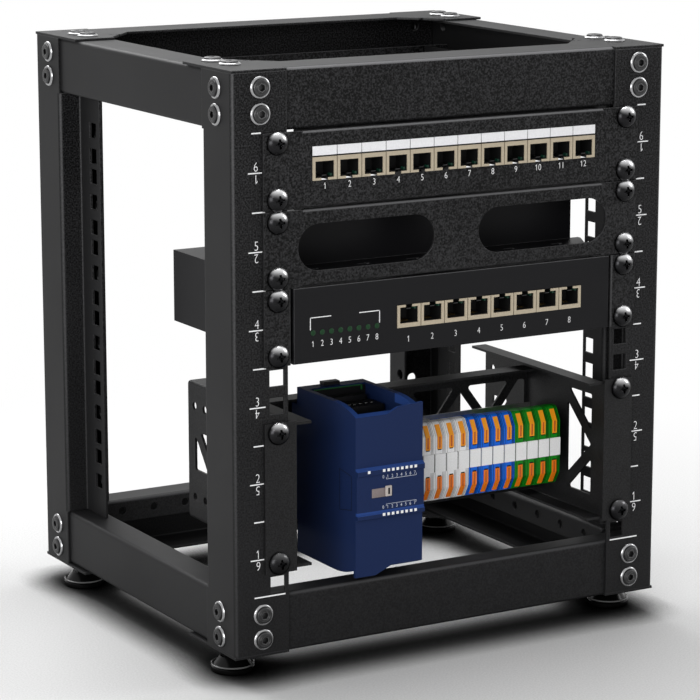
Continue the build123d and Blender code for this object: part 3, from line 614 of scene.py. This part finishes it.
# Socket rims: a ring of paler steel round each socket, a painted highlight on its chamfer
hex_rim = bmesh.new()
for radius in (2.6, 2.28):
    bmesh.ops.create_circle(hex_rim, segments=6, radius=radius * MM)
bmesh.ops.bridge_loops(hex_rim, edges=list(hex_rim.edges))
bmesh.ops.translate(hex_rim, vec=(0, 0, (head_height - 0.02) * MM), verts=hex_rim.verts)
upper = bmesh.ops.extrude_face_region(hex_rim, geom=list(hex_rim.faces))["geom"]
bmesh.ops.translate(hex_rim, vec=(0, 0, 0.06 * MM), verts=only_verts(upper))
finished(copies(hex_rim, screw_places), "frame_screw_socket_rims", chamfer_highlight_steel)


def plain_object(bm, name):
    """A bmesh as an object that is no piece of the rack."""
    mesh = bpy.data.meshes.new(name)
    bm.to_mesh(mesh)
    bm.free()
    thing = bpy.data.objects.new(name, mesh)
    bpy.context.scene.collection.objects.link(thing)
    return thing


def cross_bars(bm, reach, half, low, high):
    """Two bars that cross, about the Z axis."""
    bar(bm, (-reach, -half, low), (reach, half, high))
    bar(bm, (-half, -reach, low), (half, reach, high))


# Panel screws: domed heads with a cross recess
head = lathe(
    [(6.7, 0), (6.8, 0.5), (6.6, 1.3), (6, 2.2), (5.1, 3), (3.8, 3.6), (2.3, 4), (1, 4.15), (0, 4.2)],
    36,
)
recess_floor = 1.9
above_head = 6
bmesh.ops.holes_fill(head, edges=head.edges, sides=0)
bmesh.ops.recalc_face_normals(head, faces=head.faces)
body = plain_object(head, "pan_head")
cross = bmesh.new()
cross_bars(cross, 2.9, 0.72, recess_floor, above_head)
bar(cross, (-1.35, -1.35, recess_floor), (1.35, 1.35, above_head))
cutter = plain_object(cross, "cross")
cut = body.modifiers.new("cross", "BOOLEAN")
cut.operation = "DIFFERENCE"
cut.solver = "EXACT"
cut.use_self = True
cut.object = cutter
bpy.context.view_layer.update()
pan = bmesh.new()
pan.from_mesh(bpy.data.meshes.new_from_object(body.evaluated_get(bpy.context.evaluated_depsgraph_get())))
for thing in (body, cutter):
    bpy.data.objects.remove(thing)
panel_levels = [unit_zero + u * unit + offset for u in (5, 4, 3) for offset in (6.35, 38.1)]
bracket_levels = [unit_zero + 19.05, unit_zero + 95.25]
pan_places = [
    towards((0, -1, 0), (sx * screw_column, panel_face, z), 0.1)
    for sx in (-1, 1)
    for z in panel_levels + bracket_levels
]
finished(copies(pan, pan_places), "panel_screws", pan_steel, 30)
# A dark cross at the bottom of each recess: painted shade
recess = bmesh.new()
cross_bars(recess, 2.8, 0.65, recess_floor + 0.05, recess_floor + 0.2)
finished(copies(recess, pan_places), "panel_screw_recess_shade", dark_gap)


def print_bar(bm, x0, x1, z0, z1, y):
    """A printed bar on a face to the front."""
    bar(bm, (x0, y - 0.06, z0), (x1, y + 0.02, z1))


def across(bm, side, near, far, z, thick, y):
    """A printed line on one side of the rack, between two distances from the middle."""
    x0, x1 = sorted((side * near, side * far))
    print_bar(bm, x0, x1, z - thick / 2, z + thick / 2, y)


def number(bm, text, x, z, height, y, turned=False, thin=0.0):
    """A printed number, centred on its place, facing forward."""
    ink = 0.04
    narrow = 0.86
    capital_share = 0.70
    curve = bpy.data.curves.new("number", "FONT")
    curve.body = text
    curve.size = height / capital_share * MM
    curve.align_x = "CENTER"
    curve.align_y = "CENTER"
    curve.resolution_u = 4
    curve.extrude = ink * MM
    curve.offset = -thin * MM
    holder = bpy.data.objects.new("number", curve)
    bpy.context.scene.collection.objects.link(holder)
    bpy.context.view_layer.update()
    flat = bpy.data.meshes.new_from_object(holder.evaluated_get(bpy.context.evaluated_depsgraph_get()))
    xs = [v.co.x for v in flat.vertices]
    ys = [v.co.y for v in flat.vertices]
    left, top = min(xs), max(ys)
    centre = Matrix.Translation((-(left + max(xs)) / 2, -(min(ys) + top) / 2, 0))
    shape = Matrix.Diagonal((narrow, height * MM / (top - min(ys)), 1, 1))
    stand = Matrix.Rotation(math.pi / 2, 4, "X")
    if turned:
        stand = stand @ Matrix.Rotation(math.pi, 4, "Z")
    place = Matrix.Translation((x * MM, (y - 0.02) * MM, z * MM)) @ stand @ shape @ centre
    start = len(bm.verts)
    bm.from_mesh(flat)
    bm.verts.ensure_lookup_table()
    bmesh.ops.transform(bm, matrix=place, verts=bm.verts[start:])
    if text.startswith("1"):
        # The font's one is a bare stroke, so its slanted flag is drawn beside the top
        tall = height * MM
        stroke = (0.13 * height - thin) * MM
        flag = [(0, 0), (stroke, 0), (stroke, -0.12 * tall), (-0.18 * tall, -0.33 * tall)]
        flag.append((-0.18 * tall, -0.22 * tall))
        verts = [bm.verts.new((left + a, top + b, ink * MM)) for a, b in flag]
        made = bmesh.ops.contextual_create(bm, geom=verts)["faces"]
        back = only_verts(bmesh.ops.extrude_face_region(bm, geom=made)["geom"])
        bmesh.ops.translate(bm, vec=(0, 0, -2 * ink * MM), verts=back)
        bmesh.ops.transform(bm, matrix=place, verts=verts + back)
    bpy.data.objects.remove(holder)
    bpy.data.curves.remove(curve)
    bpy.data.meshes.remove(flat)


# Printed lines between the units on the posts. Each unit has a dash, with its number from below over it, and
# its number from above, turned over, under it.
line_end = 133.5
long_line_start = 113.4
left_line_start = 125.2
line_start = 127.6
dash_start, long_dash_start, dash_end = 127.1, 125.7, 135.9
number_column = 130.9
number_rise = 3.55
line_thick, dash_thick = 0.8, 0.7
unit_figure = 5.1
units = 6
marks = bmesh.new()
for side in (-1, 1):
    starts = [long_line_start] + [left_line_start if side < 0 else line_start] * (units - 1) + [line_start]
    for u, start in enumerate(starts):
        across(marks, side, start, line_end, unit_zero + u * unit, line_thick, front)
    for u in range(units):
        z = unit_zero + (u + 0.5) * unit
        column = side * number_column
        start = long_dash_start if u == 2 else dash_start
        across(marks, side, start, dash_end, z, dash_thick, front)
        number(marks, str(u + 1), column, z + number_rise, unit_figure, front, thin=0.12)
        number(marks, str(units - u), column, z - number_rise, unit_figure, front, thin=0.12, turned=True)
finished(marks, "unit_marks", print_white)

# Port numbers of the patch panel
port_figure = 3.6
patch_ports = 12
patch_middle, patch_level = middle("patch_jacks")[::2]
patch_numbers = bmesh.new()
for i in range(patch_ports):
    x = patch_middle + (i - (patch_ports - 1) / 2) * port_pitch + 0.4
    number(patch_numbers, str(i + 1), x, patch_level - 9.9, port_figure, panel_face, thin=0.06)
finished(patch_numbers, "patch_numbers", print_white)

# Port and lamp numbers of the switch, with a corner line at each end of the lamp row
switch_ports = 8
switch_middle = middle("switch_jacks")[0]
lamps_middle, lamps_level = middle("switch_lamps")[::2]
lamp_pitch = 6
lamp_figure = 3.5
port_figures_level = unit_zero + 141.3
lamp_figures_level = unit_zero + 144.7
lamp_line = unit_zero + 160
lamp_columns = [lamps_middle + (i - (switch_ports - 1) / 2) * lamp_pitch for i in range(switch_ports)]
switch_numbers = bmesh.new()
for i, lamp_x in enumerate(lamp_columns):
    port_x = switch_middle + (i - (switch_ports - 1) / 2) * port_pitch
    number(switch_numbers, str(i + 1), port_x, port_figures_level, port_figure, panel_face, thin=0.08)
    number(switch_numbers, str(i + 1), lamp_x, lamp_figures_level, lamp_figure, panel_face, thin=0.06)
corner_reach, corner_run, corner_drop, corner_width = 23, 13.8, 7.4, 0.5
for side in (-1, 1):
    for run, drop in ((corner_width, corner_drop), (corner_run, corner_width)):
        x0, x1 = sorted((lamps_middle + side * corner_reach, lamps_middle + side * (corner_reach - run)))
        print_bar(switch_numbers, x0, x1, lamp_line - drop, lamp_line, panel_face)
finished(switch_numbers, "switch_numbers", print_white)

# Lenses of the lamp row, standing a little proud of the switch
lens = lathe([(1.6, -0.05), (1.6, 0.2), (1.35, 0.38), (0.8, 0.5), (0, 0.55)], 24)
lens_places = [towards((0, -1, 0), (x, panel_face, lamps_level)) for x in lamp_columns]
finished(copies(lens, lens_places), "switch_lamp_lenses", lamp_lens)


def socket_insides(name, count, way):
    """Contact springs, corner lamps and latch springs of a row of sockets, latch up or down by its way."""
    row_middle, level = middle(name + "_jacks")[::2]
    contact_pitch = 1.02
    contacts_front, contacts_back = -124.5, -119.5
    lamps_back = -127
    springs_front, springs_back = panel_face + 0.2, -125
    gold, green, amber, spring = bmesh.new(), bmesh.new(), bmesh.new(), bmesh.new()
    for i in range(count):
        x = row_middle + (i - (count - 1) / 2) * port_pitch
        z = level - way * 4.2
        for contact in range(8):
            cx = x + (contact - 3.5) * contact_pitch
            bar(gold, (cx - 0.18, contacts_front, z - 0.3), (cx + 0.18, contacts_back, z + 0.3))
        z = level + way * 4.1
        bar(amber, (x - 5.9, front, z - 0.7), (x - 4.6, lamps_back, z + 0.7))
        bar(green, (x + 4.6, front, z - 0.7), (x + 5.9, lamps_back, z + 0.7))
        bar(spring, (x - 1.5, springs_front, z - 0.1), (x + 1.5, springs_back, z + 0.35), 0.12)
    finished(gold, name + "_contacts", contact_gold)
    finished(green, name + "_green_lamps", port_green)
    finished(amber, name + "_amber_lamps", port_amber)
    finished(spring, name + "_latch_springs", dark_steel)


socket_insides("patch", patch_ports, -1)
socket_insides("switch", switch_ports, 1)

# Control module. Its heights are counted from the lowest unit, as the part's are.
band_face = rib_face + 1
pocket_floor = unit_zero + 89.9
pocket_back = -69.8
dot_pitch = 3.06
dot_columns = [-49.2 + k * dot_pitch for k in range(8)]
upper_dots = unit_zero + 65.2
lower_dots = unit_zero + 38.85


def front_plate(bm, x0, x1, z0, z1, face, rise, bevel):
    """A thin plate on the module's front that starts 0.2 mm inside the face it stands on."""
    bar(bm, (x0, face - rise, z0), (x1, face + 0.2, z1), bevel)


# Lamp dots on the ribs: two rows of eight, and one apart
half_dot = 0.85
lone_dot = (-59.3, upper_dots)
dots = bmesh.new()
for x, z in [(x, z) for z in (upper_dots, lower_dots) for x in dot_columns] + [lone_dot]:
    front_plate(dots, x - half_dot, x + half_dot, z - half_dot, z + half_dot, rib_face, 0.15, 0.1)
finished(dots, "module_lamps", print_white)

# Small figures under the upper dots and over the lower ones, with a line whose ends turn towards the figures
figures = bmesh.new()
lines_from, lines_to = dot_columns[1] - 1, dot_columns[7] + 1
for z, line, end in ((61.2, 59.6, 60.8), (43.0, 44.6, 43.4)):
    for k, x in enumerate(dot_columns):
        number(figures, str(k), x, unit_zero + z, 2.0, band_face)
    level = unit_zero + line
    print_bar(figures, lines_from, lines_to, level - 0.12, level + 0.12, band_face)
    low, high = sorted((level, unit_zero + end))
    for x in (lines_from, lines_to):
        print_bar(figures, x - 0.12, x + 0.12, low, high, band_face)
finished(figures, "module_figures", faded_print)

# Slide switch: its bed, its knob, and the dark slot and shadow lines round it
slide_low = unit_zero + 49.4
slide = bmesh.new()
front_plate(slide, -56.9, -47.8, slide_low - 0.1, slide_low + 5.2, band_face, 0.15, 0.1)
finished(slide, "module_slide_switch", switch_mauve)
knob = bmesh.new()
front_plate(knob, -47.9, -43.8, slide_low, slide_low + 6.2, band_face, 0.9, 0.3)
finished(knob, "module_slide_knob", switch_ivory)
slide_slot = bmesh.new()
bar(slide_slot, (-46.4, band_face - 1.0, slide_low + 1.2), (-45.2, band_face - 0.8, slide_low + 5.0), 0.05)
bar(slide_slot, (-57.1, band_face - 0.05, slide_low - 0.3), (-43.2, band_face + 0.1, slide_low + 0.1), 0.02)
bar(slide_slot, (-43.8, band_face - 0.3, slide_low), (-43.3, band_face + 0.1, slide_low + 5.5), 0.02)
finished(slide_slot, "module_slide_slot", dark_gap)

# Seam of the flap on the module's left side, by its corners behind the front and above the lowest unit
seam = bmesh.new()
corners = [(4.8, 41.9), (4.8, 62.1), (18.6, 64.1), (18.6, 39.5)]
for (y0, z0), (y1, z1) in zip(corners, corners[1:] + corners[:1]):
    along = Vector((0, y1 - y0, z1 - z0))
    centre = Vector((module_left, front + (y0 + y1) / 2, unit_zero + (z0 + z1) / 2))
    turn = Matrix.Rotation(math.atan2(along.z, along.y), 4, "X")
    size = Matrix.Diagonal((0.12, along.length + 0.3, 0.35, 1))
    bmesh.ops.create_cube(seam, size=MM, matrix=Matrix.Translation(centre * MM) @ turn @ size)
finished(seam, "module_side_seam", dark_gap)

# Terminal pocket in the module's top: dark floor and back as painted shade, terminal blocks, screws and the
# board's edge
terminal_top = unit_zero + 95.3
strip = bmesh.new()
for inset, y0, y1, low, high, bevel in (
    (3.5, -126.5, pocket_back, pocket_floor - 0.05, pocket_floor + 0.3, 0),
    (3.5, pocket_back - 0.2, pocket_back + 0.1, pocket_floor, unit_zero + 101.7, 0),
    (6, -96, -80, pocket_floor, terminal_top, 0.5),
    (8, -79, -73, pocket_floor, unit_zero + 98.0, 0.4),
):
    bar(strip, (module_left + inset, y0, low), (module_right - inset, y1, high), bevel)
finished(strip, "module_terminal_strip", dark_gap)
terminals = lathe([(0.5, -0.2), (0.9, 0.25), (1.2, 0.4), (1.5, 0.3), (1.6, 0)], 20)
spots = [towards((0, 0, 1), (x, -88.5, terminal_top)) for x in (-47.4, -43.5, -39.5, -35.5, -31.6)]
finished(copies(terminals, spots), "module_terminals", dark_steel)
board = bmesh.new()
board_top = unit_zero + 102.2
for x0, low in ((-60.5, board_top - 0.6), (-28.3, board_top - 3.3)):
    bar(board, (x0, pocket_back - 0.7, low), (-27.5, pocket_back - 0.1, board_top))
finished(board, "module_board_edge", board_green)

# Terminal levers: a darker strip of painted shade along each lever's groove and a painted shadow at each end,
# with painted shade in the gaps beside the tags and a painted shadow under them
grey_blocks = 4
lever_face = box("terminal_levers")[0][1]
groove_near, groove_far = 9.3, 16.2
end_near, end_far = 7.8, 8.7
half_tag = 5.5
grooves, ends, lines = bmesh.new(), bmesh.new(), bmesh.new()
for i in range(block_count):
    left = first_block + i * block_pitch
    for way in (-1, 1):
        z0, z1 = sorted((rail_level + way * groove_near, rail_level + way * groove_far))
        bar(grooves, (left + 3.5, lever_face - 0.06, z0), (left + 4.7, lever_face + 0.1, z1), 0.05)
        z0, z1 = sorted((rail_level + way * end_near, rail_level + way * end_far))
        bar(ends, (left + 2.9, block_face - 0.12, z0), (left + 5.5, block_face + 0.1, z1), 0.08)
    low = (left + 0.05, block_face - 0.15, rail_level - half_tag)
    bar(lines, low, (left + 0.75, block_face + 0.1, rail_level + half_tag))
    if i < grey_blocks:
        low = (left, block_face - 0.1, rail_level - 4.9)
        bar(lines, low, (left + block_pitch, block_face + 0.1, rail_level - 4.45))
finished(grooves, "lever_grooves", lever_groove)
finished(ends, "lever_end_shadows", dark_gap)
finished(lines, "tag_shadow_lines", dark_gap)

# Bright edge of each foot's disc: a paler ring as a painted highlight on the rim
feet = ("foot_front_left", "foot_rear_left", "foot_front_right", "foot_rear_right")
rim_ring = lathe([(12.55, 3.9), (12.85, 4.0), (12.85, 4.5), (12.5, 4.75), (12.2, 4.6), (12.55, 3.9)], 48)
foot_places = [Matrix.Translation((x * MM, y * MM, 0)) for x, y, z in map(middle, feet)]
finished(copies(rim_ring, foot_places), "foot_rims", foot_rim)

# Floor: pale paper with a painted contact shadow close to the rack, and white to look at where it is far from
# it
floor_mesh = bmesh.new()
bmesh.ops.create_grid(floor_mesh, x_segments=1, y_segments=1, size=8)
floor = plain_object(floor_mesh, "floor")
floor_paper, tree, shader = new_material("floor_paper")
shader.inputs["Roughness"].default_value = 0.9
shader.inputs["Specular IOR Level"].default_value = 0.0
# Ambient occlusion darkens the paper near the rack: a painted contact shadow
contact_shadow = tree.nodes.new("ShaderNodeAmbientOcclusion")
contact_shadow.samples = 8
contact_shadow.inputs["Distance"].default_value = 0.028
paper = spread(tree, noise(tree, 900), 0.3, 0.7, 0.67, 0.77)
shade = calc(tree, "MULTIPLY", calc(tree, "POWER", contact_shadow.outputs["AO"], 4), paper)
tree.links.new(shade, shader.inputs["Base Color"])
near, far = 0.30, 0.60
fade = spread(tree, vector_calc(tree, "LENGTH", object_place(tree)), near, far, smooth=True)
white = tree.nodes.new("ShaderNodeEmission")
blend = tree.nodes.new("ShaderNodeMixShader")
tree.links.new(calc(tree, "MULTIPLY", seen_directly(tree), fade), blend.inputs["Fac"])
tree.links.new(shader.outputs[0], blend.inputs[1])
tree.links.new(white.outputs[0], blend.inputs[2])
tree.links.new(blend.outputs[0], tree.nodes["Material Output"].inputs["Surface"])
floor.data.materials.append(floor_paper)
